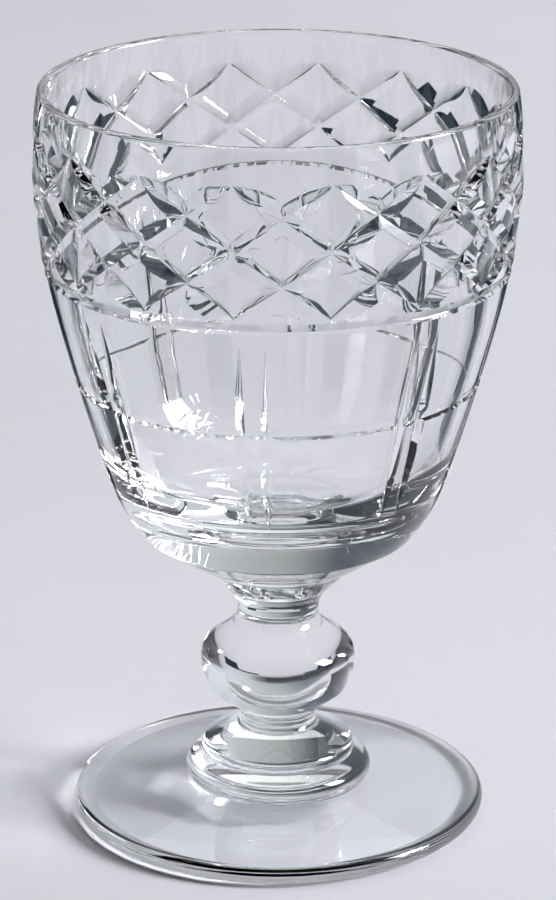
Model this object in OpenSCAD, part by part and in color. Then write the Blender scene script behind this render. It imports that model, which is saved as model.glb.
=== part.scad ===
// Water goblet: a cut bowl on a short knopped stem and a round foot.
// Millimetres. The origin is the centre of the ring that the foot stands on, +Z
// is up and -Y is the front. Every piece is a gather of clear glass, joined hot
// to the next one on a flat plane.

/* [Foot] */
// Radius of the foot at the middle of its rounded edge
foot_r = 38.9; // [36:0.1:41]
// Radius of the rounded edge of the foot
foot_edge_r = 1.7; // [1.4:0.1:2]
// Height of the foot at the stem
foot_h = 6.2; // [5.6:0.1:7]
// Width of the flat ring that the foot stands on
foot_rest_w = 2.7; // [2.2:0.1:3.4]
// Height of the hollow inside that ring
foot_hollow_h = 2.6; // [2:0.1:3]

/* [Stepped button under the knop] */
// Widest radius of the lower step
lower_button_r = 17.5; // [16.8:0.1:18.2]
// Radius of the lower step's rounded edge
lower_button_edge_r = 2.6; // [2.4:0.1:2.8]
// Height of that edge's centre above the foot
lower_button_edge_z = 1.4; // [1.1:0.1:1.6]
// Height of the lower step
lower_button_h = 4.7; // [4.4:0.1:5.2]
// Radius at which the lower step's sloping top ends
lower_button_top_r = 14.2; // [13.8:0.1:14.6]
// Widest radius of the upper step
upper_button_r = 14.3; // [13.9:0.1:14.9]
// Radius of the upper step's rounded edge
upper_button_edge_r = 1.7; // [1.5:0.1:2]
// Height of that edge's centre above the lower step
upper_button_edge_z = 1.1; // [0.8:0.1:1.3]
// Height of the upper step
upper_button_h = 5.4; // [5:0.1:6]
// Slope of the tops of both steps, from the level
button_top_slope = 27; // [24:1:30]

/* [Waist and knop] */
// Radius of the waist between the button and the knop
waist_r = 6.9; // [6.4:0.1:7.4]
// Radius of the waist's hollow curve
waist_curve_r = 2; // [1.9:0.1:2.6]
// Height of the waist's narrowest point above the button
waist_low = 1.7; // [1.4:0.1:1.8]
// Height of the waist
waist_h = 3.2; // [3:0.1:3.5]
// Widest radius of the ball knop
knop_r = 14.5; // [14:0.1:15.2]
// Height of the ball knop
knop_h = 19.8; // [19:0.1:21]
// Height of the knop's shoulder above the waist
knop_shoulder_h = 4.2; // [3.8:0.1:4.6]
// Height of the knop's widest level above the waist
knop_middle_h = 10.5; // [10:0.1:11]
// Radius of the knop's full lower curve
knop_belly_r = 11.4; // [10.8:0.1:12]
// Slope of the knop's top, from upright
knop_top_slope = 49; // [46:1:52]
// Radius of the narrowest point under the bowl
neck_r = 7.66; // [7.3:0.02:8.1]
// Radius of the hollow curve from the knop into the neck
neck_curve_r = 3; // [2.8:0.1:3.3]
// Height of the collar from the neck up to the bowl
collar_h = 4.7; // [4.3:0.1:5]
// Flare of the collar and of the bowl's foot, from upright
flare_angle = 45; // [43:1:47]

/* [Bowl] */
// Height of the bowl above the collar
bowl_h = 96; // [94:0.5:98]
// Widest radius of the bowl
bowl_r = 44.4; // [43.6:0.1:45.2]
// Depth of the widest level below the rim
widest_drop = 13.5; // [13:0.1:14]
// Radius of the side's curve above the widest level
rim_curve_r = 80; // [76:1:90]
// Radius of the side's curve below the widest level
shoulder_curve_r = 108; // [104:1:114]
// Depth below the rim at which the side's long curve begins
shoulder_drop = 39; // [38:0.5:40]
// Radius of the side's long curve
side_curve_r = 420; // [400:5:460]
// Depth below the rim at which the side's long curve ends
side_drop = 74; // [73:0.5:75]
// Radius of the curve above the heel
heel_curve_r = 32; // [30:0.5:34]
// Depth of the heel's corner below the rim
heel_drop = 84; // [83.6:0.1:84.2]
// Radius of the heel's corner
heel_corner_r = 4; // [3.6:0.1:4.4]
// Lean of the heel corner's lower end below the level
heel_corner_turn = 58; // [56:1:60]
// Height of the bowl's flared foot
bowl_flare_h = 4.2; // [3.9:0.1:4.5]
// Radius of the rounded lip
lip_r = 0.9; // [0.8:0.05:1]
// Radius of the inside's curve from the lip to the bottom
inside_curve_r = 208; // [204:1:214]
// Thickness of glass from the collar to the bottom of the hollow
floor_h = 17; // [16:0.1:18]
// Radius of the round corner at the bottom of the hollow
floor_corner_r = 20; // [18:0.5:21]

/* [Cut diamonds] */
// Number of diamonds round the bowl
diamond_count = 16; // [14:1:18]
// Depth of the middle row of crossings below the rim
diamond_drop = 19; // [18.6:0.1:19.4]
// Turn of the diamonds about the axis, from the front
diamond_turn = -10.25; // [-22.5:0.25:22.5]
// Depth of a diamond cut
diamond_cut_depth = 1.2; // [1:0.05:1.3]
// Half of the angle of a diamond cut's V
diamond_half_angle = 62; // [58:1:64]
// Slope of a diamond cut, from the level
diamond_slope = 36.3; // [35.5:0.1:37]
// Lean of the diamond cuts with the taper of the bowl
diamond_lean = 2.9; // [2.7:0.1:3.1]
// Radius of a diamond cut's long curve round the bowl
diamond_curve_r = 54.3; // [53.8:0.1:54.8]
// Half of the arc that a diamond cut has at full depth
diamond_half_arc = 15; // [14:0.5:15.5]
// Number of straight strokes in the full-depth part of a diamond cut
diamond_strokes = 3; // [2:1:4]
// Length by which two strokes run past each other
stroke_lap = 0.3; // [0.2:0.05:0.4]
// Length of the stroke that leaves the glass at each end
exit_stroke = 9; // [8:0.5:10]
// Angle at which that stroke leaves
exit_angle = 6; // [5:0.5:8]

/* [Rings and upright cuts] */
// Depth of the upper ring below the rim
upper_ring_drop = 33; // [32.8:0.1:33.4]
// Depth of the lower ring below the rim
lower_ring_drop = 54; // [53:0.1:55]
// Depth of a ring's cut
ring_cut_depth = 0.5; // [0.4:0.05:0.6]
// Half of the angle of a ring's V
ring_half_angle = 63; // [58:1:65]
// Number of pairs of upright cuts
pair_count = 8; // [6:1:10]
// Turn of the pairs about the axis, from the front
pair_turn = -6; // [-22.5:0.5:22.5]
// Angle between the two cuts of a pair
pair_gap = 6.2; // [5.8:0.1:7]
// Depth of an upright cut
upright_cut_depth = 0.85; // [0.7:0.05:0.95]
// Half of the angle of an upright cut's V
upright_half_angle = 62; // [58:1:64]
// Depth of an upright cut's middle below the rim
upright_drop = 55; // [54.5:0.1:55.5]
// Radius of an upright cut along its length
upright_curve_r = 540; // [500:10:600]
// Half of the arc of an upright cutter
upright_half_arc = 2.6; // [2.4:0.1:2.8]

/* [Hidden] */
$fa = 1.5;
$fs = 0.3;

// How far a cutter stands out of the glass
overrun = 0.8;
// How far a chord may leave an arc of an outline, and the most that it turns
chord_gap = 0.05;
chord_turn = 5;

// Levels
lower_button_z = foot_h;
upper_button_z = lower_button_z + lower_button_h;
waist_z = upper_button_z + upper_button_h;
knop_z = waist_z + waist_h;
neck_z = knop_z + knop_h;
bowl_z = neck_z + collar_h;
rim_z = bowl_z + bowl_h;

// Joint radii of the stem, each used by the pieces on both sides
waist_base_r = waist_r + waist_curve_r - sqrt(pow(waist_curve_r, 2) - pow(waist_low, 2));
waist_top_r = waist_r + waist_curve_r - sqrt(pow(waist_curve_r, 2) - pow(waist_h - waist_low, 2));
collar_curve_r = collar_h / sin(flare_angle);
collar_top_r = neck_r + collar_curve_r * (1 - cos(flare_angle));

// Outside of the bowl: centres of the arcs, each tangent to the one above
widest_z = rim_z - widest_drop;
shoulder_z = rim_z - shoulder_drop;
side_z = rim_z - side_drop;
heel_z = rim_z - heel_drop;
rim_c = [bowl_r - rim_curve_r, widest_z];
shoulder_c = [bowl_r - shoulder_curve_r, widest_z];
shoulder_a = asin((widest_z - shoulder_z) / shoulder_curve_r);
side_c = shoulder_c + (shoulder_curve_r - side_curve_r) * [cos(shoulder_a), -sin(shoulder_a)];
side_a = asin((side_c[1] - side_z) / side_curve_r);
heel_c = side_c + (side_curve_r - heel_curve_r) * [cos(side_a), -sin(side_a)];
heel_a = asin((heel_c[1] - heel_z) / heel_curve_r);
corner_c = heel_c + (heel_curve_r - heel_corner_r) * [cos(heel_a), -sin(heel_a)];
flare_top = [collar_top_r + bowl_flare_h * tan(flare_angle), bowl_z + bowl_flare_h];

// Lip: a circle tangent to the side and to the inside
lip_z = rim_z - lip_r;
lip_a = asin((lip_z - widest_z) / (rim_curve_r - lip_r));
lip_c = rim_c + (rim_curve_r - lip_r) * [cos(lip_a), sin(lip_a)];

// Inside of the bowl
inside_c = [lip_c[0] - lip_r - inside_curve_r, lip_z];
floor_z = bowl_z + floor_h;
floor_c_z = floor_z + floor_corner_r;
floor_a = asin((lip_z - floor_c_z) / (inside_curve_r - floor_corner_r));
floor_c = inside_c + (inside_curve_r - floor_corner_r) * [cos(floor_a), -sin(floor_a)];

// Distance from an arc's centre to the arc, across, at a level
function across(c, r, z) = c[0] + sqrt(pow(r, 2) - pow(z - c[1], 2));

// Radius of the bowl's side at a level above the heel's curve
function side_r(z) =
    z > widest_z ? across(rim_c, rim_curve_r, z) :
    z > shoulder_z ? across(shoulder_c, shoulder_curve_r, z) :
    across(side_c, side_curve_r, z);

// Levels of the cuts
diamond_z = rim_z - diamond_drop;
upper_ring_z = rim_z - upper_ring_drop;
lower_ring_z = rim_z - lower_ring_drop;
upright_z = rim_z - upright_drop;
// Lean of the side at the upright cuts' middle
upright_lean = asin((side_c[1] - upright_z) / side_curve_r);

// Points along an arc, both ends included, far enough apart that no chord
// leaves the arc by more than chord_gap
function arc(c, r, a_from, a_to) =
    let (
        widest = min(chord_turn, 2 * acos(1 - chord_gap / r)),
        n = ceil(abs(a_to - a_from) / widest)
    )
    [for (i = [0 : n]) let (a = a_from + (a_to - a_from) * i / n) c + r * [cos(a), sin(a)]];

// The same points without the first, which the outline already has
function arc_on(c, r, a_from, a_to) =
    let (p = arc(c, r, a_from, a_to))
    [for (i = [1 : len(p) - 1]) p[i]];

// Half profile of the bowl: up the outside, over the lip and down the inside
bowl_outline = concat(
    [[0, bowl_z], [collar_top_r, bowl_z], flare_top],
    arc(corner_c, heel_corner_r, -heel_corner_turn, -heel_a),
    arc_on(heel_c, heel_curve_r, -heel_a, -side_a),
    arc_on(side_c, side_curve_r, -side_a, -shoulder_a),
    arc_on(shoulder_c, shoulder_curve_r, -shoulder_a, 0),
    arc_on(rim_c, rim_curve_r, 0, lip_a),
    arc_on(lip_c, lip_r, lip_a, 180),
    arc_on(inside_c, inside_curve_r, 0, -floor_a),
    arc_on(floor_c, floor_corner_r, -floor_a, -90),
    [[0, floor_z]]
);

// V section of a cutter that points at the axis, its edge at radius r
module inward_v(r, depth, half_angle) {
    polygon([
        [r, 0],
        [r + depth + overrun, (depth + overrun) * tan(half_angle)],
        [r + depth + overrun, -(depth + overrun) * tan(half_angle)]
    ]);
}

// V section of a wheel, its edge at radius r
module outward_v(r, depth, half_angle) {
    polygon([
        [r, 0],
        [r - depth - overrun, (depth + overrun) * tan(half_angle)],
        [r - depth - overrun, -(depth + overrun) * tan(half_angle)]
    ]);
}

// Straight V-shaped stroke along y, its edge on the line x = 0
module stroke(y_low, y_high) {
    translate([0, y_high, 0])
        rotate([90, 0, 0])
            linear_extrude(y_high - y_low)
                inward_v(0, diamond_cut_depth, diamond_half_angle);
}

// One diamond cut through the front of the bowl, rising to the right: strokes
// that follow the wall round at full depth, and one that leaves it at each end
module diamond_cutter() {
    turn = 2 * diamond_half_arc / diamond_strokes;
    half = diamond_curve_r * tan(turn / 2);
    last = diamond_strokes - 1;
    translate([side_r(diamond_z), 0, diamond_z])
        rotate([0, diamond_lean, 0])
            rotate([diamond_slope, 0, 0])
                translate([-diamond_curve_r - diamond_cut_depth, 0, 0]) {
                    for (i = [0 : last])
                        rotate([0, 0, (i + 0.5) * turn - diamond_half_arc])
                            translate([diamond_curve_r, 0, 0])
                                stroke(
                                    i > 0 ? -half - stroke_lap : -half,
                                    i < last ? half + stroke_lap : half
                                );
                    for (end = [0, 1])
                        mirror([0, end, 0])
                            rotate([0, 0, diamond_half_arc])
                                translate([diamond_curve_r / cos(turn / 2), 0, 0])
                                    rotate([0, 0, -exit_angle])
                                        stroke(0, exit_stroke);
                }
}

// Ring cut round the bowl at a level
module ring_cutter(z) {
    translate([0, 0, z])
        rotate_extrude()
            inward_v(side_r(z) - ring_cut_depth, ring_cut_depth, ring_half_angle);
}

// One upright cut through the front of the bowl
module upright_cutter() {
    translate([side_r(upright_z), 0, upright_z])
        rotate([0, upright_lean, 0])
            rotate([90, 0, 0])
                translate([upright_curve_r - upright_cut_depth, 0, 0])
                    rotate([0, 0, 180 - upright_half_arc])
                        rotate_extrude(angle = 2 * upright_half_arc)
                            outward_v(upright_curve_r, upright_cut_depth, upright_half_angle);
}

// Bowl with its rows of diamonds, two rings and pairs of upright cuts
module bowl() {
    color([0.86, 0.89, 0.92, 0.35])
        difference() {
            rotate_extrude() polygon(bowl_outline);
            for (i = [0 : diamond_count - 1])
                rotate([0, 0, -90 + diamond_turn + i * 360 / diamond_count]) {
                    diamond_cutter();
                    mirror([0, 1, 0]) diamond_cutter();
                }
            ring_cutter(upper_ring_z);
            ring_cutter(lower_ring_z);
            for (i = [0 : pair_count - 1])
                for (side = [-1, 1])
                    rotate([0, 0, -90 + pair_turn + i * 360 / pair_count + side * pair_gap / 2])
                        upright_cutter();
        }
}

// Flared collar that carries the bowl on the knop
module collar() {
    curve_c = [neck_r + collar_curve_r, neck_z];
    color([0.84, 0.88, 0.91, 0.35])
        rotate_extrude()
            polygon(concat(
                [[0, neck_z]],
                arc(curve_c, collar_curve_r, 180, 180 - flare_angle),
                [[0, bowl_z]]
            ));
}

// Ball knop: a cone up to a shoulder, a full belly, and a sloping top into the neck
module ball_knop() {
    middle_z = knop_z + knop_middle_h;
    shoulder_a = asin((knop_middle_h - knop_shoulder_h) / knop_belly_r);
    belly_c = [knop_r - knop_belly_r, middle_z];
    neck_c = [neck_r + neck_curve_r, neck_z];
    out = [cos(knop_top_slope), sin(knop_top_slope)];
    neck_join = neck_c - neck_curve_r * out;
    // Radius that makes the top's curve tangent to the line down from the neck
    top_curve_r = ((neck_join[0] - knop_r) * out[0] + (neck_join[1] - middle_z) * out[1]) / (1 - out[0]);
    top_c = [knop_r - top_curve_r, middle_z];
    color([0.82, 0.87, 0.91, 0.35])
        rotate_extrude()
            polygon(concat(
                [[0, knop_z], [waist_top_r, knop_z]],
                arc(belly_c, knop_belly_r, -shoulder_a, 0),
                arc_on(top_c, top_curve_r, 0, knop_top_slope),
                arc(neck_c, neck_curve_r, 180 + knop_top_slope, 180),
                [[0, neck_z]]
            ));
}

// Waist between the knop and the stepped button
module waist() {
    curve_c = [waist_r + waist_curve_r, waist_z + waist_low];
    low_a = asin(waist_low / waist_curve_r);
    high_a = asin((waist_h - waist_low) / waist_curve_r);
    color([0.84, 0.88, 0.91, 0.35])
        rotate_extrude()
            polygon(concat(
                [[0, waist_z]],
                arc(curve_c, waist_curve_r, 180 + low_a, 180 - high_a),
                [[0, knop_z]]
            ));
}

// Step of the button: a rounded edge under a sloping top
module button_step(base_z, top_z, step_r, edge_r, edge_z, top_r) {
    edge_c = [step_r - edge_r, base_z + edge_z];
    base_a = asin(edge_z / edge_r);
    rotate_extrude()
        polygon(concat(
            [[0, base_z]],
            arc(edge_c, edge_r, -base_a, 90 - button_top_slope),
            [[top_r, top_z], [0, top_z]]
        ));
}

// Upper step, which carries the waist
module upper_button() {
    color([0.82, 0.87, 0.91, 0.35])
        button_step(
            upper_button_z, waist_z,
            upper_button_r, upper_button_edge_r, upper_button_edge_z, waist_base_r
        );
}

// Lower step, wider and lower than the upper one
module lower_button() {
    color([0.84, 0.88, 0.91, 0.35])
        button_step(
            lower_button_z, upper_button_z,
            lower_button_r, lower_button_edge_r, lower_button_edge_z, lower_button_top_r
        );
}

// Foot: a disc with a gently sloping top, a rounded edge and a shallow hollow
// under it, so that it stands on a ring
module foot() {
    edge_c = [foot_r - foot_edge_r, foot_edge_r];
    rest_r = edge_c[0] - foot_rest_w;
    hollow_r = (pow(rest_r, 2) + pow(foot_hollow_h, 2)) / (2 * foot_hollow_h);
    joint = [lower_button_r, foot_h];
    run = joint - edge_c;
    // Direction of the point where the sloping top is tangent to the edge
    edge_a = atan2(run[1], run[0]) - acos(foot_edge_r / norm(run));
    color([0.86, 0.89, 0.92, 0.35])
        rotate_extrude()
            polygon(concat(
                arc([0, foot_hollow_h - hollow_r], hollow_r, 90, 90 - asin(rest_r / hollow_r)),
                arc(edge_c, foot_edge_r, -90, edge_a),
                [joint, [0, foot_h]]
            ));
}

bowl();
collar();
ball_knop();
waist();
upper_button();
lower_button();
foot();
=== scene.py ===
"""Looks of a cut glass water goblet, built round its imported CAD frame. Metres and degrees."""

from math import asin, atan2, ceil, cos, pi, radians, sin, sqrt, tan

import bpy
import numpy as np
from mathutils import Matrix, Vector


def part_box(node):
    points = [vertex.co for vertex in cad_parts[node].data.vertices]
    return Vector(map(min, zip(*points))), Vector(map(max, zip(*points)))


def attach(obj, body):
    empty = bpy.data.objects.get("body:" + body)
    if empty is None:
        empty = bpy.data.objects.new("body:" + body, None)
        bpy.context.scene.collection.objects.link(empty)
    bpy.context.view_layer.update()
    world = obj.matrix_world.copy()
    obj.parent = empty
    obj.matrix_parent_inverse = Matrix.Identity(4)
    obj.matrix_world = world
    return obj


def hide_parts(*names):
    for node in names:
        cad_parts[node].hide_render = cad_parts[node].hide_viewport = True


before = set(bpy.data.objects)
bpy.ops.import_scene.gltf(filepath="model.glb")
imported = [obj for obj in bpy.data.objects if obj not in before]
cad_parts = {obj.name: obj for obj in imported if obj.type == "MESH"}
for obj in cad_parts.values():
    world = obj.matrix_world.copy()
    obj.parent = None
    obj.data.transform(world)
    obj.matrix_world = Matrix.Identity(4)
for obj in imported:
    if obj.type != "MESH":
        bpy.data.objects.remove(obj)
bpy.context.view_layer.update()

# Levels and radii that the frame gives
FOOT_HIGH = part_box("foot")[1]
LOWER_LOW, LOWER_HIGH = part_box("lower_button")
UPPER_LOW, UPPER_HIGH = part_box("upper_button")
WAIST_LOW, WAIST_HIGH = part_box("waist")
KNOP_LOW, KNOP_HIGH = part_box("ball_knop")
COLLAR_LOW, COLLAR_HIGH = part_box("collar")
BOWL_LOW, BOWL_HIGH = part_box("bowl")

# Foot and button
FOOT_EDGE_R = 0.0017
FOOT_REST_W, FOOT_HOLLOW_H = 0.0027, 0.0026
BUTTON_TOP_SLOPE = 27
LOWER_EDGE_R, LOWER_EDGE_Z, LOWER_TOP_R = 0.0026, 0.0014, 0.0142
UPPER_EDGE_R, UPPER_EDGE_Z = 0.0017, 0.0011

# Waist, knop and collar
WAIST_R, WAIST_CURVE_R, WAIST_DIP = 0.0069, 0.002, 0.0017
KNOP_SHOULDER_H, KNOP_MIDDLE_H = 0.0042, 0.0105
KNOP_BELLY_R, KNOP_TOP_SLOPE = 0.0114, 49
NECK_R, NECK_CURVE_R = 0.00766, 0.003
FLARE_ANGLE = 45

# Bowl
BOWL_R = 0.0444
WIDEST_DROP, RIM_CURVE_R = 0.0135, 0.080
SHOULDER_CURVE_R, SHOULDER_DROP = 0.108, 0.039
SIDE_CURVE_R, SIDE_DROP = 0.420, 0.074
HEEL_CURVE_R, HEEL_DROP = 0.032, 0.084
HEEL_CORNER_R, HEEL_CORNER_TURN = 0.004, 58
BOWL_FLARE_H, LIP_R = 0.0042, 0.0009
INSIDE_CURVE_R, FLOOR_H, FLOOR_CORNER_R = 0.208, 0.017, 0.020

# Cuts
DIAMOND_COUNT, DIAMOND_DROP, DIAMOND_TURN = 16, 0.019, -10.25
DIAMOND_DEPTH, DIAMOND_HALF_ANGLE = 0.0012, 62
DIAMOND_SLOPE, DIAMOND_LEAN = 36.3, 2.9
DIAMOND_CURVE_R, DIAMOND_HALF_ARC = 0.0543, 15
WHEEL_R, RUN_OUT = 0.032, 16
UPPER_RING_DROP, LOWER_RING_DROP = 0.033, 0.054
RING_DEPTH, RING_HALF_ANGLE = 0.0005, 63
PAIR_COUNT, PAIR_TURN, PAIR_GAP = 8, -6, 6.2
UPRIGHT_DEPTH, UPRIGHT_HALF_ANGLE, UPRIGHT_DROP = 0.00085, 62, 0.055
UPRIGHT_CURVE_R, UPRIGHT_HALF_ARC = 0.540, 2.6
OVERRUN = 0.0008

# Fineness of the meshes
PROFILE_STEP = 0.001
CUT_STEP = 0.0006
BOWL_SEGMENTS = 288
STEM_SEGMENTS = 144
FACET_ANGLE = 12
JOINT_GAP = 0.00001
# Radii that count as nothing
POLE_R, AXIS_R, TINY_R = 1e-7, 1e-6, 1e-9
# How a ring's facets are told from those of the other cuts
LEVEL_SLANT, RING_MARGIN = 0.05, 0.0002

# Glass: its colour, the unevenness of its polish and the waves in its surface
GLASS_TINT, GLASS_IOR = (0.985, 0.99, 0.995), 1.52
CLEAR_ROUGHNESS, SATIN_ROUGHNESS, POLISH_SPREAD = 0, 0.3, 0.008
POLISH_SCALE, POLISH_DETAIL, POLISH_REACH = 45, 4, (0.45, 0.75)
WAVE_SCALE, WAVE_DETAIL, WAVE_HEIGHT = 55, 1, 0.00006

# Material slots of a piece
GLASS, JOINT, SATIN = 0, 1, 2


def arc(centre, radius, start, end, facing=1, step=PROFILE_STEP):
    """A run of points and normals along an arc of a profile; facing is -1 on a hollow curve."""
    count = max(3, ceil(abs(radians(end - start)) * radius / step))
    angles = np.radians(np.linspace(start, end, count + 1))
    way = np.column_stack((np.cos(angles), np.sin(angles)))
    return np.array(centre) + radius * way, facing * way, GLASS


def line(start, end, slot=GLASS):
    """A straight run of a profile that goes round with the glass on its left."""
    start, end = np.array(start, float), np.array(end, float)
    along = (end - start) / np.linalg.norm(end - start)
    normal = np.array((along[1], -along[0]))
    return np.array((start, end)), np.array((normal, normal)), slot


def revolve(name, runs, segments):
    """A closed mesh turned from the runs of a half profile, with exact normals."""
    rows, strips = [], []
    for points, normals, slot in runs:
        if not rows or not np.allclose(rows[-1], points[0], atol=POLE_R):
            rows.append(points[0])
        for k in range(1, len(points)):
            rows.append(points[k])
            strips.append((len(rows) - 2, normals[k - 1], normals[k], slot))
    angles = 2 * pi * np.arange(segments) / segments
    ways = np.column_stack((np.cos(angles), np.sin(angles)))
    vertices, starts = [], []
    for r, z in rows:
        starts.append(len(vertices))
        if r < POLE_R:
            vertices.append((0, 0, z))
        else:
            vertices.extend((r * x, r * y, z) for x, y in ways)
    faces, corner_normals, slots = [], [], []
    for low, normal_low, normal_high, slot in strips:
        for k in range(segments):
            after = (k + 1) % segments
            corners = []
            for row, turn, normal in (
                (low, k, normal_low), (low, after, normal_low),
                (low + 1, after, normal_high), (low + 1, k, normal_high),
            ):
                pole = rows[row][0] < POLE_R
                index = starts[row] + (0 if pole else turn)
                if index not in [c[0] for c in corners]:
                    way = ways[turn]
                    corners.append((index, (normal[0] * way[0], normal[0] * way[1], normal[1])))
            faces.append([c[0] for c in corners])
            corner_normals.extend(c[1] for c in corners)
            slots.append(slot)
    mesh = bpy.data.meshes.new(name)
    mesh.from_pydata(vertices, [], faces)
    mesh.polygons.foreach_set("material_index", slots)
    mesh.polygons.foreach_set("use_smooth", [True] * len(faces))
    mesh.normals_split_custom_set(corner_normals)
    piece = bpy.data.objects.new(name, mesh)
    bpy.context.scene.collection.objects.link(piece)
    return piece


# Bowl: centres of the arcs of its outside, each tangent to the one above
rim_z = BOWL_HIGH.z
bowl_z = BOWL_LOW.z
widest_z = rim_z - WIDEST_DROP
shoulder_z = rim_z - SHOULDER_DROP
side_z = rim_z - SIDE_DROP
heel_z = rim_z - HEEL_DROP


def direction(angle):
    return np.array((cos(radians(angle)), sin(radians(angle))))


def degrees_asin(value):
    return asin(value) * 180 / pi


rim_c = np.array((BOWL_R - RIM_CURVE_R, widest_z))
shoulder_c = np.array((BOWL_R - SHOULDER_CURVE_R, widest_z))
shoulder_a = degrees_asin((widest_z - shoulder_z) / SHOULDER_CURVE_R)
side_c = shoulder_c + (SHOULDER_CURVE_R - SIDE_CURVE_R) * direction(-shoulder_a)
side_a = degrees_asin((side_c[1] - side_z) / SIDE_CURVE_R)
heel_c = side_c + (SIDE_CURVE_R - HEEL_CURVE_R) * direction(-side_a)
heel_a = degrees_asin((heel_c[1] - heel_z) / HEEL_CURVE_R)
corner_c = heel_c + (HEEL_CURVE_R - HEEL_CORNER_R) * direction(-heel_a)
collar_curve_r = (COLLAR_HIGH.z - COLLAR_LOW.z) / sin(radians(FLARE_ANGLE))
collar_top_r = NECK_R + collar_curve_r * (1 - cos(radians(FLARE_ANGLE)))
flare_top = np.array((collar_top_r + BOWL_FLARE_H * tan(radians(FLARE_ANGLE)), bowl_z + BOWL_FLARE_H))
lip_z = rim_z - LIP_R
lip_a = degrees_asin((lip_z - widest_z) / (RIM_CURVE_R - LIP_R))
lip_c = rim_c + (RIM_CURVE_R - LIP_R) * direction(lip_a)
inside_c = np.array((lip_c[0] - LIP_R - INSIDE_CURVE_R, lip_z))
floor_z = bowl_z + FLOOR_H
floor_a = degrees_asin((lip_z - floor_z - FLOOR_CORNER_R) / (INSIDE_CURVE_R - FLOOR_CORNER_R))
floor_c = inside_c + (INSIDE_CURVE_R - FLOOR_CORNER_R) * direction(-floor_a)
# The heel's sharp turn under the corner
heel_low = corner_c + HEEL_CORNER_R * direction(-HEEL_CORNER_TURN)

outside_runs = [
    arc(corner_c, HEEL_CORNER_R, -HEEL_CORNER_TURN, -heel_a, step=PROFILE_STEP / 4),
    arc(heel_c, HEEL_CURVE_R, -heel_a, -side_a),
    arc(side_c, SIDE_CURVE_R, -side_a, -shoulder_a),
    arc(shoulder_c, SHOULDER_CURVE_R, -shoulder_a, 0),
    arc(rim_c, RIM_CURVE_R, 0, lip_a),
]
inside_runs = [
    arc(inside_c, INSIDE_CURVE_R, 0, -floor_a),
    arc(floor_c, FLOOR_CORNER_R, -floor_a, -90, step=PROFILE_STEP / 2),
]
for points, normals, slot in inside_runs:
    normals *= -1
lip_run = arc(lip_c, LIP_R, lip_a, 180, step=PROFILE_STEP / 8)

bowl_runs = [
    line((0, bowl_z), (collar_top_r, bowl_z), JOINT),
    line((collar_top_r, bowl_z), flare_top),
    line(flare_top, heel_low),
    *outside_runs,
    lip_run,
    *inside_runs,
    line(inside_runs[-1][0][-1], (0, floor_z)),
]
bowl = revolve("cut_bowl", bowl_runs, BOWL_SEGMENTS)


def v_cutter(name, paths, depth, half_angle):
    """A mesh of V grooves, one along each path of (point, way out of the glass, across) rows."""
    reach = depth + OVERRUN
    vertices, faces = [], []
    for path, closed in paths:
        first = len(vertices)
        count = len(path)
        for point, out, across in path:
            wide = reach * tan(radians(half_angle)) * across
            vertices.extend((point, point + reach * out + wide, point + reach * out - wide))
        for k in range(count if closed else count - 1):
            a, b = first + 3 * k, first + 3 * ((k + 1) % count)
            faces.extend(((a, a + 1, b + 1, b), (a + 1, a + 2, b + 2, b + 1), (a + 2, a, b, b + 2)))
        if not closed:
            last = first + 3 * (count - 1)
            faces.extend(((first, first + 2, first + 1), (last, last + 1, last + 2)))
    mesh = bpy.data.meshes.new(name)
    mesh.from_pydata(vertices, [], faces)
    cutter = bpy.data.objects.new(name, mesh)
    bpy.context.scene.collection.objects.link(cutter)
    return cutter


def across_arc(centre, radius, z):
    return centre[0] + sqrt(radius**2 - (z - centre[1])**2)


def side_r(z):
    """Radius of the bowl's side at a level above the heel's curve."""
    if z > widest_z:
        return across_arc(rim_c, RIM_CURVE_R, z)
    if z > shoulder_z:
        return across_arc(shoulder_c, SHOULDER_CURVE_R, z)
    return across_arc(side_c, SIDE_CURVE_R, z)


def turned(matrix, rows):
    """The rows of a path, moved by a matrix."""
    turn = np.array(matrix.to_3x3())
    move = np.array(matrix.translation)
    return [(turn @ p + move, turn @ o, turn @ a) for p, o, a in rows]


def diamond_path():
    """Edge of one diamond cut in its own plane: round the wall, then out along the wheel's arc."""
    reach = radians(DIAMOND_HALF_ARC)
    leave = radians(RUN_OUT)
    n_arc = ceil(2 * reach * DIAMOND_CURVE_R / CUT_STEP)
    n_out = ceil(leave * WHEEL_R / CUT_STEP)
    rows = []
    for t in np.linspace(-reach, reach, n_arc + 1):
        out = np.array((cos(t), sin(t), 0))
        rows.append((DIAMOND_CURVE_R * out, out))
    end = np.array((cos(reach), sin(reach), 0))
    hub = (DIAMOND_CURVE_R + WHEEL_R) * end
    tail = []
    for t in np.linspace(0, leave, n_out + 1)[1:]:
        out = np.array((cos(reach - t), sin(reach - t), 0))
        tail.append((hub - WHEEL_R * out, out))
    head = [(p * (1, -1, 1), o * (1, -1, 1)) for p, o in reversed(tail)]
    across = np.array((0, 0, 1.0))
    shift = np.array((DIAMOND_CURVE_R + DIAMOND_DEPTH, 0, 0))
    return [(p - shift, o, across) for p, o in head + rows + tail]


def upright_path():
    """Edge of one upright cut in its own plane, which holds the axis: x out, y up."""
    reach = radians(UPRIGHT_HALF_ARC)
    count = ceil(2 * reach * UPRIGHT_CURVE_R / CUT_STEP)
    across = np.array((0, 0, 1.0))
    hub = np.array((UPRIGHT_CURVE_R - UPRIGHT_DEPTH, 0, 0))
    rows = []
    for t in np.linspace(-reach, reach, count + 1):
        out = np.array((cos(t), -sin(t), 0))
        rows.append((hub - UPRIGHT_CURVE_R * out, out, across))
    return rows


def rotation(angle, axis):
    return Matrix.Rotation(radians(angle), 4, axis)


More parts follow.
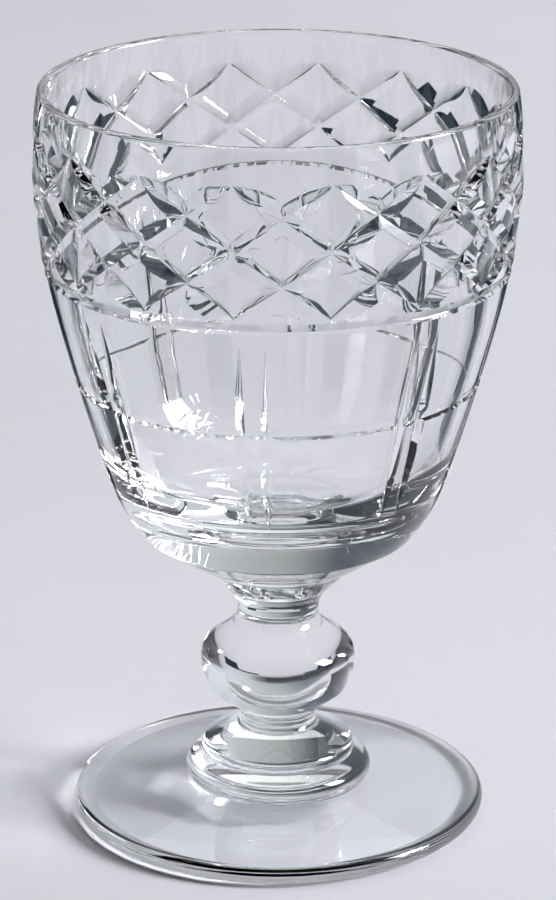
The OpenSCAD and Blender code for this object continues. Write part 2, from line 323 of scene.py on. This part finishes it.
diamond_z = rim_z - DIAMOND_DROP
upright_z = rim_z - UPRIGHT_DROP
upright_lean = degrees_asin((side_c[1] - upright_z) / SIDE_CURVE_R)
leaning = []
for side in (1, -1):
    place = (
        Matrix.Translation((side_r(diamond_z), 0, diamond_z))
        @ rotation(DIAMOND_LEAN, "Y")
        @ rotation(side * DIAMOND_SLOPE, "X")
    )
    leaning.append([
        (turned(rotation(-90 + DIAMOND_TURN + i * 360 / DIAMOND_COUNT, "Z") @ place, diamond_path()), False)
        for i in range(DIAMOND_COUNT)
    ])
upright_place = (
    Matrix.Translation((side_r(upright_z), 0, upright_z))
    @ rotation(upright_lean, "Y")
    @ rotation(90, "X")
)
uprights = []
for i in range(PAIR_COUNT):
    for side in (-1, 1):
        turn = -90 + PAIR_TURN + i * 360 / PAIR_COUNT + side * PAIR_GAP / 2
        uprights.append((turned(rotation(turn, "Z") @ upright_place, upright_path()), False))
rings = []
for drop in (UPPER_RING_DROP, LOWER_RING_DROP):
    z = rim_z - drop
    rows = []
    for t in np.linspace(0, 2 * pi, BOWL_SEGMENTS, endpoint=False):
        out = np.array((cos(t), sin(t), 0))
        rows.append(((side_r(z) - RING_DEPTH) * out + (0, 0, z), out, np.array((0, 0, 1.0))))
    rings.append((rows, True))

cutters = [
    v_cutter("rising_cuts", leaning[0], DIAMOND_DEPTH, DIAMOND_HALF_ANGLE),
    v_cutter("falling_cuts", leaning[1], DIAMOND_DEPTH, DIAMOND_HALF_ANGLE),
    v_cutter("upright_cuts", uprights, UPRIGHT_DEPTH, UPRIGHT_HALF_ANGLE),
    v_cutter("ring_cuts", rings, RING_DEPTH, RING_HALF_ANGLE),
]
for cutter in cutters:
    modifier = bowl.modifiers.new(cutter.name, "BOOLEAN")
    modifier.operation = "DIFFERENCE"
    modifier.solver = "MANIFOLD"
    modifier.object = cutter

bpy.context.view_layer.update()
cut = bpy.data.meshes.new_from_object(bowl.evaluated_get(bpy.context.evaluated_depsgraph_get()))
bowl.modifiers.clear()
bowl.data = cut
for cutter in cutters:
    bpy.data.objects.remove(cutter)


def restore_normals(mesh, runs):
    """Gives the uncut glass its profile's exact normals again.

    The facets get smooth normals within crisp edges.
    """
    count = len(mesh.polygons)
    centres, ways = np.empty(3 * count), np.empty(3 * count)
    mesh.polygons.foreach_get("center", centres)
    mesh.polygons.foreach_get("normal", ways)
    centres, ways = centres.reshape(-1, 3), ways.reshape(-1, 3)
    starts = np.concatenate([points[:-1] for points, normals, slot in runs])
    spans = np.concatenate([points[1:] - points[:-1] for points, normals, slot in runs])
    low = np.concatenate([normals[:-1] for points, normals, slot in runs])
    high = np.concatenate([normals[1:] for points, normals, slot in runs])
    slots = np.concatenate([np.full(len(points) - 1, slot) for points, normals, slot in runs])
    flat = np.column_stack((np.hypot(centres[:, 0], centres[:, 1]), centres[:, 2]))
    best, found = np.full(count, np.inf), np.zeros(count, int)
    for k in range(len(starts)):
        off = flat - starts[k]
        t = np.clip(off @ spans[k] / (spans[k] @ spans[k]), 0, 1)
        gap = np.linalg.norm(off - t[:, None] * spans[k], axis=1)
        nearer = gap < best
        best[nearer], found[nearer] = gap[nearer], k
    middle = low[found] + high[found]
    middle /= np.linalg.norm(middle, axis=1)[:, None]
    radial = centres[:, :2] / np.maximum(np.hypot(centres[:, 0], centres[:, 1]), TINY_R)[:, None]
    expected = np.column_stack((middle[:, :1] * radial, middle[:, 1]))
    facet = (expected * ways).sum(1) < cos(radians(FACET_ANGLE))
    slots_found = slots[found].astype(np.int32)
    around = np.column_stack((-radial[:, 1], radial[:, 0]))
    level = np.abs((ways[:, :2] * around).sum(1)) < LEVEL_SLANT
    for drop in (UPPER_RING_DROP, LOWER_RING_DROP):
        half_width = RING_DEPTH * tan(radians(RING_HALF_ANGLE))
        near = np.abs(centres[:, 2] - rim_z + drop) < half_width + RING_MARGIN
        slots_found[facet & level & near] = SATIN
    mesh.polygons.foreach_set("material_index", slots_found)
    mesh.polygons.foreach_set("use_smooth", np.ones(count, bool))
    mesh.set_sharp_from_angle(angle=radians(FACET_ANGLE))
    corners = len(mesh.loops)
    index, totals = np.empty(corners, np.int32), np.empty(count, np.int32)
    mesh.loops.foreach_get("vertex_index", index)
    mesh.polygons.foreach_get("loop_total", totals)
    places = np.empty(3 * len(mesh.vertices))
    mesh.vertices.foreach_get("co", places)
    places = places.reshape(-1, 3)[index]
    face = np.repeat(np.arange(count), totals)
    k = found[face]
    reach = np.hypot(places[:, 0], places[:, 1])
    off = np.column_stack((reach, places[:, 2])) - starts[k]
    t = np.clip((off * spans[k]).sum(1) / (spans[k]**2).sum(1), 0, 1)[:, None]
    normal = (1 - t) * low[k] + t * high[k]
    radial = np.where(reach[:, None] > AXIS_R, places[:, :2] / np.maximum(reach, AXIS_R)[:, None], 0)
    normals = np.column_stack((normal[:, :1] * radial, normal[:, 1]))
    normals /= np.linalg.norm(normals, axis=1)[:, None]
    normals[facet[face]] = 0
    mesh.normals_split_custom_set(normals)


restore_normals(cut, bowl_runs)


# Stem and foot, from the collar down
def stem_piece(name, runs):
    return revolve(name, runs, STEM_SEGMENTS)


def button_step(name, low, high, edge_r, edge_z, top_r, under_r, over_r):
    """A step of the button; under_r and over_r are the radii of its joints below and above."""
    base_z, top_z, step_r = low.z, high.z, high.x
    edge_c = (step_r - edge_r, base_z + edge_z)
    edge = arc(edge_c, edge_r, -degrees_asin(edge_z / edge_r), 90 - BUTTON_TOP_SLOPE, step=PROFILE_STEP / 5)
    runs = [
        line((0, base_z), (under_r, base_z), JOINT),
        edge,
        line(edge[0][-1], (top_r, top_z)),
    ]
    if over_r < top_r:
        runs.append(line((top_r, top_z), (over_r, top_z)))
    runs.append(line((over_r, top_z), (0, top_z), JOINT))
    return stem_piece(name, runs)


def edge_base_r(step_r, edge_r, edge_z):
    """Radius at which a rounded edge meets the level of its step's base."""
    return step_r - edge_r + sqrt(edge_r**2 - edge_z**2)


def waist_joint_r(rise):
    return WAIST_R + WAIST_CURVE_R - sqrt(WAIST_CURVE_R**2 - rise**2)


waist_h = WAIST_HIGH.z - WAIST_LOW.z
waist_base_r = waist_joint_r(WAIST_DIP)
waist_top_r = waist_joint_r(waist_h - WAIST_DIP)
lower_base_r = edge_base_r(LOWER_HIGH.x, LOWER_EDGE_R, LOWER_EDGE_Z)
upper_base_r = edge_base_r(UPPER_HIGH.x, UPPER_EDGE_R, UPPER_EDGE_Z)

collar = stem_piece("flared_collar", [
    line((0, COLLAR_LOW.z), (NECK_R, COLLAR_LOW.z), JOINT),
    arc(
        (NECK_R + collar_curve_r, COLLAR_LOW.z), collar_curve_r, 180, 180 - FLARE_ANGLE,
        facing=-1, step=PROFILE_STEP / 4,
    ),
    line((collar_top_r, COLLAR_HIGH.z), (0, COLLAR_HIGH.z), JOINT),
])

middle_z = KNOP_LOW.z + KNOP_MIDDLE_H
knop_r = KNOP_HIGH.x
knop_shoulder_a = degrees_asin((KNOP_MIDDLE_H - KNOP_SHOULDER_H) / KNOP_BELLY_R)
neck_c = np.array((NECK_R + NECK_CURVE_R, KNOP_HIGH.z))
slope_way = direction(KNOP_TOP_SLOPE)
neck_join = neck_c - NECK_CURVE_R * slope_way
top_curve_r = ((neck_join - (knop_r, middle_z)) @ slope_way) / (1 - slope_way[0])
belly = arc((knop_r - KNOP_BELLY_R, middle_z), KNOP_BELLY_R, -knop_shoulder_a, 0, step=PROFILE_STEP / 4)
knop_top = arc((knop_r - top_curve_r, middle_z), top_curve_r, 0, KNOP_TOP_SLOPE, step=PROFILE_STEP / 4)
knop = stem_piece("round_knop", [
    line((0, KNOP_LOW.z), (waist_top_r, KNOP_LOW.z), JOINT),
    line((waist_top_r, KNOP_LOW.z), belly[0][0]),
    belly,
    knop_top,
    line(knop_top[0][-1], neck_join),
    arc(neck_c, NECK_CURVE_R, 180 + KNOP_TOP_SLOPE, 180, facing=-1, step=PROFILE_STEP / 4),
    line((NECK_R, KNOP_HIGH.z), (0, KNOP_HIGH.z), JOINT),
])

waist_c = (WAIST_R + WAIST_CURVE_R, WAIST_LOW.z + WAIST_DIP)
waist = stem_piece("slim_waist", [
    line((0, WAIST_LOW.z), (waist_base_r, WAIST_LOW.z), JOINT),
    arc(
        waist_c, WAIST_CURVE_R,
        180 + degrees_asin(WAIST_DIP / WAIST_CURVE_R),
        180 - degrees_asin((waist_h - WAIST_DIP) / WAIST_CURVE_R),
        facing=-1, step=PROFILE_STEP / 5,
    ),
    line((waist_top_r, WAIST_HIGH.z), (0, WAIST_HIGH.z), JOINT),
])

upper_button = button_step(
    "upper_step", UPPER_LOW, UPPER_HIGH, UPPER_EDGE_R, UPPER_EDGE_Z, waist_base_r, upper_base_r, waist_base_r,
)
lower_button = button_step(
    "lower_step", LOWER_LOW, LOWER_HIGH, LOWER_EDGE_R, LOWER_EDGE_Z, LOWER_TOP_R, lower_base_r, upper_base_r,
)

foot_edge_c = np.array((FOOT_HIGH.x - FOOT_EDGE_R, FOOT_EDGE_R))
foot_joint = np.array((LOWER_HIGH.x, FOOT_HIGH.z))
run = foot_joint - foot_edge_c
foot_edge_a = (atan2(run[1], run[0]) - np.arccos(FOOT_EDGE_R / np.linalg.norm(run))) * 180 / pi
foot_edge = arc(foot_edge_c, FOOT_EDGE_R, -90, foot_edge_a, step=PROFILE_STEP / 6)
# Shallow hollow under the foot
rest_r = foot_edge_c[0] - FOOT_REST_W
hollow_r = (rest_r**2 + FOOT_HOLLOW_H**2) / (2 * FOOT_HOLLOW_H)
foot_hollow = arc((0, FOOT_HOLLOW_H - hollow_r), hollow_r, 90, 90 - degrees_asin(rest_r / hollow_r))
foot = revolve("round_foot", [
    (foot_hollow[0], -foot_hollow[1], GLASS),
    line((rest_r, 0), (foot_edge_c[0], 0)),
    foot_edge,
    line(foot_edge[0][-1], foot_joint),
    line(foot_joint, (lower_base_r, FOOT_HIGH.z)),
    line((lower_base_r, FOOT_HIGH.z), (0, FOOT_HIGH.z), JOINT),
], BOWL_SEGMENTS)


def add_noise(nodes, links, place, scale, detail):
    """A noise texture fixed to the object."""
    noise = nodes.new("ShaderNodeTexNoise")
    noise.inputs["Scale"].default_value = scale
    noise.inputs["Detail"].default_value = detail
    links.new(place.outputs["Object"], noise.inputs["Vector"])
    return noise.outputs["Fac"]


def add_range(nodes, links, value, reach, result=(0, 1)):
    """Maps a value's reach onto a result, each a (low, high) pair."""
    node = nodes.new("ShaderNodeMapRange")
    for socket, number in zip(("From Min", "From Max", "To Min", "To Max"), (*reach, *result)):
        node.inputs[socket].default_value = number
    links.new(value, node.inputs["Value"])
    return node.outputs["Result"]


def add_ramp(nodes, links, value, stops):
    """A colour ramp on a value, with (position, colour) stops from the lowest up."""
    node = nodes.new("ShaderNodeValToRGB")
    elements = node.color_ramp.elements
    for k, (position, tone) in enumerate(stops):
        stop = elements[k] if k < 2 else elements.new(position)
        stop.position = position
        stop.color = (*tone, 1)
    links.new(value, node.inputs["Fac"])
    return node.outputs["Color"]


def glass_material(name, roughness):
    """Clear glass: its surface is faintly wavy from the fire, and its polish varies a little."""
    material = bpy.data.materials.new(name)
    material.use_nodes = True
    nodes, links = material.node_tree.nodes, material.node_tree.links
    shader = nodes["Principled BSDF"]
    shader.inputs["Base Color"].default_value = (*GLASS_TINT, 1)
    shader.inputs["Transmission Weight"].default_value = 1
    shader.inputs["IOR"].default_value = GLASS_IOR
    place = nodes.new("ShaderNodeTexCoord")
    polish = add_noise(nodes, links, place, POLISH_SCALE, POLISH_DETAIL)
    spread = add_range(nodes, links, polish, POLISH_REACH, (roughness, roughness + POLISH_SPREAD))
    links.new(spread, shader.inputs["Roughness"])
    waves = add_noise(nodes, links, place, WAVE_SCALE, WAVE_DETAIL)
    bump = nodes.new("ShaderNodeBump")
    bump.inputs["Strength"].default_value = 1
    bump.inputs["Distance"].default_value = WAVE_HEIGHT
    links.new(waves, bump.inputs["Height"])
    links.new(bump.outputs["Normal"], shader.inputs["Normal"])
    return material


clear = glass_material("clear_glass", CLEAR_ROUGHNESS)
satin = glass_material("satin_ring_glass", SATIN_ROUGHNESS)
gap = bpy.data.materials.new("joint_plane")
gap.use_nodes = True
gap.node_tree.nodes.clear()
see_through = gap.node_tree.nodes.new("ShaderNodeBsdfTransparent")
gap_out = gap.node_tree.nodes.new("ShaderNodeOutputMaterial")
gap.node_tree.links.new(see_through.outputs["BSDF"], gap_out.inputs["Surface"])


def part_joint(mesh):
    """Draws the flat joint faces of a piece in by a hair, so that they don't lie in the next piece's."""
    moved = {}
    for polygon in mesh.polygons:
        if polygon.material_index == JOINT:
            level = polygon.center.z
            inward = JOINT_GAP if polygon.normal.z < 0 else -JOINT_GAP
            for index in polygon.vertices:
                moved[index] = level + inward
    for index, z in moved.items():
        mesh.vertices[index].co.z = z


PIECES = {
    bowl: "bowl", collar: "collar", knop: "ball_knop", waist: "waist",
    upper_button: "upper_button", lower_button: "lower_button", foot: "foot",
}
for piece, node in PIECES.items():
    part_joint(piece.data)
    piece.data.materials.clear()
    piece.data.materials.append(clear)
    piece.data.materials.append(gap)
    piece.data.materials.append(satin)
    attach(piece, "root")
    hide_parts(node)


def plane(name, size):
    half = size / 2
    mesh = bpy.data.meshes.new(name)
    corners = [(-half, -half, 0), (half, -half, 0), (half, half, 0), (-half, half, 0)]
    mesh.from_pydata(corners, [], [(0, 1, 2, 3)])
    obj = bpy.data.objects.new(name, mesh)
    bpy.context.scene.collection.objects.link(obj)
    return obj


# Floor: pale paper with faint clouds in its tone, a little under the foot
FLOOR_SIZE, FLOOR_Z = 12, -0.0004
PAPER_SCALE, PAPER_DETAIL, PAPER_ROUGHNESS = 9, 5, 0.9
PAPER_TONES = ((0.3, (0.621, 0.614, 0.660)), (0.7, (0.639, 0.632, 0.682)))

floor = plane("floor", FLOOR_SIZE)
paper = bpy.data.materials.new("pale_paper")
paper.use_nodes = True
nodes, links = paper.node_tree.nodes, paper.node_tree.links
shader = nodes["Principled BSDF"]
shader.inputs["Roughness"].default_value = PAPER_ROUGHNESS
shader.inputs["Specular IOR Level"].default_value = 0
place = nodes.new("ShaderNodeTexCoord")
clouds = add_noise(nodes, links, place, PAPER_SCALE, PAPER_DETAIL)
links.new(add_ramp(nodes, links, clouds, PAPER_TONES), shader.inputs["Base Color"])
floor.data.materials.append(paper)
floor.location.z = FLOOR_Z


def softbox(name, place, aim, wide, high, radiance):
    """A rectangular area lamp; radiance is its brightness as seen, where 1 is white."""
    lamp = bpy.data.lights.new(name, "AREA")
    lamp.shape = "RECTANGLE"
    lamp.size, lamp.size_y = wide, high
    lamp.energy = radiance * pi * wide * high
    obj = bpy.data.objects.new(name, lamp)
    obj.location = place
    obj.rotation_euler = (Vector(aim) - Vector(place)).to_track_quat("-Z", "Y").to_euler()
    bpy.context.scene.collection.objects.link(obj)


# Name, place, point it faces, width, height and radiance of each lamp
LAMPS = (
    ("window_right", (2.51, -0.353, 1.503), (0, 0, 0.07), 0.99, 1.32, 31),
    ("ceiling", (0, 2.2, 3.2), (0, 2.2, 0), 4.4, 4.4, 0.58),
)
for lamp_values in LAMPS:
    softbox(*lamp_values)

# World: tones from left to right, dimmer towards the camera
ROOM_TONES = (
    (0.18, (0.012, 0.024, 0.036)),
    (0.36, (0.06, 0.075, 0.09)),
    (0.47, (0.34, 0.36, 0.36)),
    (0.62, (0.50, 0.52, 0.53)),
    (0.78, (0.70, 0.73, 0.78)),
)
DEPTH_REACH, FRONT_LEVEL = (-0.4, 0.15), 0.12
# Dark stripe low in the world, which fades out towards the window
WHITE, STRIPE_TONE = (1, 1, 1), (0.03, 0.03, 0.04)
STRIPE_STOPS = ((0.02, WHITE), (0.045, STRIPE_TONE), (0.20, STRIPE_TONE), (0.24, WHITE))
STRIPE_FADE = (0.10, 0.30)
BACKDROP_TONE = (0.62, 0.61, 0.66)
# Colour sockets of a Mix node
MIX_FACTOR, MIX_A, MIX_B, MIX_RESULT = 0, 6, 7, 2

world = bpy.data.worlds.new("studio")
bpy.context.scene.world = world
world.use_nodes = True
nodes, links = world.node_tree.nodes, world.node_tree.links
background = nodes["Background"]
coordinates = nodes.new("ShaderNodeTexCoord")
separate = nodes.new("ShaderNodeSeparateXYZ")
links.new(coordinates.outputs["Generated"], separate.inputs["Vector"])
across = add_range(nodes, links, separate.outputs["X"], (-1, 1))
depth = add_range(nodes, links, separate.outputs["Y"], DEPTH_REACH, (FRONT_LEVEL, 1))
room = nodes.new("ShaderNodeVectorMath")
room.operation = "SCALE"
links.new(add_ramp(nodes, links, across, ROOM_TONES), room.inputs[0])
links.new(depth, room.inputs["Scale"])
stripe = add_ramp(nodes, links, separate.outputs["Z"], STRIPE_STOPS)
away_from_window = add_range(nodes, links, separate.outputs["X"], STRIPE_FADE, (1, 0))
faded = nodes.new("ShaderNodeMix")
faded.data_type = "RGBA"
faded.inputs[MIX_A].default_value = (*WHITE, 1)
links.new(away_from_window, faded.inputs[MIX_FACTOR])
links.new(stripe, faded.inputs[MIX_B])
dimmed = nodes.new("ShaderNodeVectorMath")
dimmed.operation = "MULTIPLY"
links.new(room.outputs["Vector"], dimmed.inputs[0])
links.new(faded.outputs[MIX_RESULT], dimmed.inputs[1])
links.new(dimmed.outputs["Vector"], background.inputs["Color"])
backdrop = nodes.new("ShaderNodeBackground")
backdrop.inputs["Color"].default_value = (*BACKDROP_TONE, 1)
light_path = nodes.new("ShaderNodeLightPath")
choice = nodes.new("ShaderNodeMixShader")
links.new(light_path.outputs["Is Camera Ray"], choice.inputs["Fac"])
links.new(background.outputs["Background"], choice.inputs[1])
links.new(backdrop.outputs["Background"], choice.inputs[2])
links.new(choice.outputs["Shader"], nodes["World Output"].inputs["Surface"])

# Dark cards that only the glass sees, as crisp dark lines in its cuts and edges
CARD_TONE, CARD_FAR, CARD_Z = (0.014, 0.025, 0.036), 4, 0.0005
# Angle from straight behind the glass, half width in degrees and near end of each card
PAIRED_CARDS = ((29, 6.5, 0.125), (61, 6, 0.13), (119, 6, 0.13), (151, 6.5, 0.13))
SINGLE_CARDS = [(-18.5, 4, 0.55), (16.5, 6, 0.55)]

black = bpy.data.materials.new("black_card")
black.use_nodes = True
shader = black.node_tree.nodes["Principled BSDF"]
shader.inputs["Base Color"].default_value = (*CARD_TONE, 1)
shader.inputs["Specular IOR Level"].default_value = 0


def dark_card(name, corners):
    """A flat card that is hidden from the camera and from the light on the floor."""
    mesh = bpy.data.meshes.new(name)
    mesh.from_pydata(corners, [], [tuple(range(len(corners)))])
    mesh.materials.append(black)
    card = bpy.data.objects.new(name, mesh)
    bpy.context.scene.collection.objects.link(card)
    card.visible_camera = card.visible_diffuse = card.visible_shadow = card.visible_volume_scatter = False
    return card


cards = [(side * angle, half_width, near) for side in (-1, 1) for angle, half_width, near in PAIRED_CARDS]
for angle, half_width, near in cards + SINGLE_CARDS:
    ways = [direction(90 - angle - half_width), direction(90 - angle + half_width)]
    ends = ((ways[0], near), (ways[0], CARD_FAR), (ways[1], CARD_FAR), (ways[1], near))
    card = dark_card(f"dark_card_{angle}", [(*(reach * way), 0) for way, reach in ends])
    card.location.z = CARD_Z

CAMERA_PLACE, CAMERA_LOOK_DOWN, CAMERA_LENS = (0, -0.7038, 0.3207), 19.57, 161.4

camera = bpy.data.cameras.new("camera")
camera.lens = CAMERA_LENS
camera_object = bpy.data.objects.new("camera", camera)
camera_object.location = CAMERA_PLACE
camera_object.rotation_euler = (radians(90 - CAMERA_LOOK_DOWN), 0, 0)
bpy.context.scene.collection.objects.link(camera_object)
bpy.context.scene.camera = camera_object

# Light paths: glossy ones end sooner than clear ones, which keeps the dark accents in the cuts
GLASS_BOUNCES, GLOSSY_BOUNCES, GAP_BOUNCES = 48, 11, 32

scene = bpy.context.scene
scene.view_settings.view_transform = "Standard"
scene.cycles.blur_glossy = 0
scene.cycles.max_bounces = GLASS_BOUNCES
scene.cycles.transmission_bounces = GLASS_BOUNCES
scene.cycles.glossy_bounces = GLOSSY_BOUNCES
scene.cycles.sample_clamp_indirect = 0
scene.cycles.transparent_max_bounces = GAP_BOUNCES
